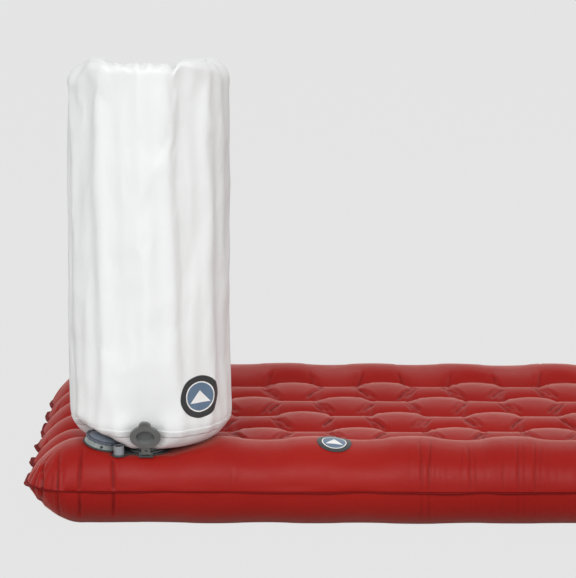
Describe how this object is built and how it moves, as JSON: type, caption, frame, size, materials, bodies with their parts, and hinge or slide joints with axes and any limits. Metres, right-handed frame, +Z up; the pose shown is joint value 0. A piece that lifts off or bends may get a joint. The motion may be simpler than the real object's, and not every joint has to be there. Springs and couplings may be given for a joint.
{
  "type": "inflatable sleeping pad",
  "caption": "Insulated air pad with tall side rails and quilted inner rows, separate inflation, deflation and bleed valves, and its roll-top pump sack docked on the inflation port.",
  "frame": {"origin": "middle of the flat ground face of the valve-side rail, at mid length", "axes": "+X along the pad from the valve (head) end to the foot end, +Y from the valve-side rail to the far rail, +Z up"},
  "size_m": [1.83, 0.521, 0.577],
  "materials": {
    "pad_fabric": "satin",
    "baffle_web": "satin",
    "batting": "matte",
    "reflective_film": "gloss",
    "badge_print": "satin",
    "valve_rubber": "matte",
    "cap_rubber": "matte",
    "valve_grey": "satin",
    "clear_silicone": "satin",
    "clear_plastic": "gloss",
    "lens_plastic": "gloss",
    "cap_ring_plastic": "satin",
    "black_rubber": "satin",
    "steel": "satin",
    "sack_fabric": "satin",
    "sack_tape": "satin",
    "webbing": "matte",
    "buckle_plastic": "satin"
  },
  "bodies": {
    "pad": {"top_shell": "pad_fabric", "bottom_shell": "pad_fabric", "baffle_1": "baffle_web", "baffle_2": "baffle_web", "baffle_3": "baffle_web", "baffle_4": "baffle_web", "baffle_5": "baffle_web", "batting_near_rail": "batting", "batting_row_1": "batting", "batting_row_2": "batting", "batting_row_3": "batting", "batting_row_4": "batting", "batting_far_rail": "batting", "film_near_rail": "reflective_film", "film_row_1": "reflective_film", "film_row_2": "reflective_film", "film_row_3": "reflective_film", "film_row_4": "reflective_film", "film_far_rail": "reflective_film", "pad_badge": "badge_print", "inflate_base": "valve_rubber", "inflate_seat": "valve_grey", "inflate_hinge_pin": "steel", "bleed_housing": "clear_plastic", "bleed_spring": "steel", "deflate_base": "valve_rubber", "deflate_seat": "valve_grey", "deflate_gasket": "black_rubber"},
    "inflate_cap": {"inflate_cap": "cap_rubber"},
    "check_flap": {"check_flap": "clear_silicone"},
    "bleed_button": {"bleed_button": "black_rubber", "bleed_seal": "black_rubber"},
    "deflate_cap": {"deflate_cap": "cap_ring_plastic", "deflate_lens": "lens_plastic"},
    "pump_sack": {"sack_body": "sack_fabric", "sack_base_panel": "sack_fabric", "sack_base_binding": "sack_tape", "sack_badge": "badge_print", "nozzle_spigot": "valve_grey", "nozzle_lock_ring": "valve_grey", "nozzle_o_ring": "black_rubber"},
    "sack_closure": {"rolled_collar": "sack_fabric", "collar_stiffener": "buckle_plastic", "collar_strap_right": "webbing", "buckle_female": "buckle_plastic"},
    "buckle_male": {"buckle_male": "buckle_plastic", "collar_strap_left": "webbing"}
  },
  "joints": [
    {"name": "inflate_cap_hinge", "type": "hinge", "parent": "pad", "child": "inflate_cap", "pos_m": [-0.759, -0.035, 0.0967], "axis": [1, 0, 0], "range_deg": [-2, 54]},
    {"name": "check_flap_hinge", "type": "hinge", "parent": "pad", "child": "check_flap", "pos_m": [-0.759, 0.015, 0.0848], "axis": [1, 0, 0], "range_deg": [0, 35], "stiffness_Nm_per_rad": 0.02},
    {"name": "bleed_press", "type": "slide", "parent": "pad", "child": "bleed_button", "axis": [0, 0, -1], "range_m": [0, 0.003], "stiffness_N_per_m": 400, "springref_m": -0.002, "deforming": ["bleed_spring"]},
    {"name": "deflate_cap_turn", "type": "hinge", "parent": "pad", "child": "deflate_cap", "pos_m": [-0.816, -0.005, 0.1], "axis": [0.2419, -0.0846, 0.9666], "range_deg": [0, 90]},
    {"name": "sack_lift", "type": "slide", "parent": "pad", "child": "pump_sack", "axis": [0, 0, 1], "range_m": [0, 0.15]},
    {"name": "pump_stroke", "type": "slide", "parent": "pump_sack", "child": "sack_closure", "axis": [0, 0, -1], "range_m": [0, 0.3], "stiffness_N_per_m": 20, "deforming": ["sack_body"]},
    {"name": "buckle_release", "type": "slide", "parent": "sack_closure", "child": "buckle_male", "axis": [-1, 0, 0], "range_m": [0, 0.02]}
  ]
}
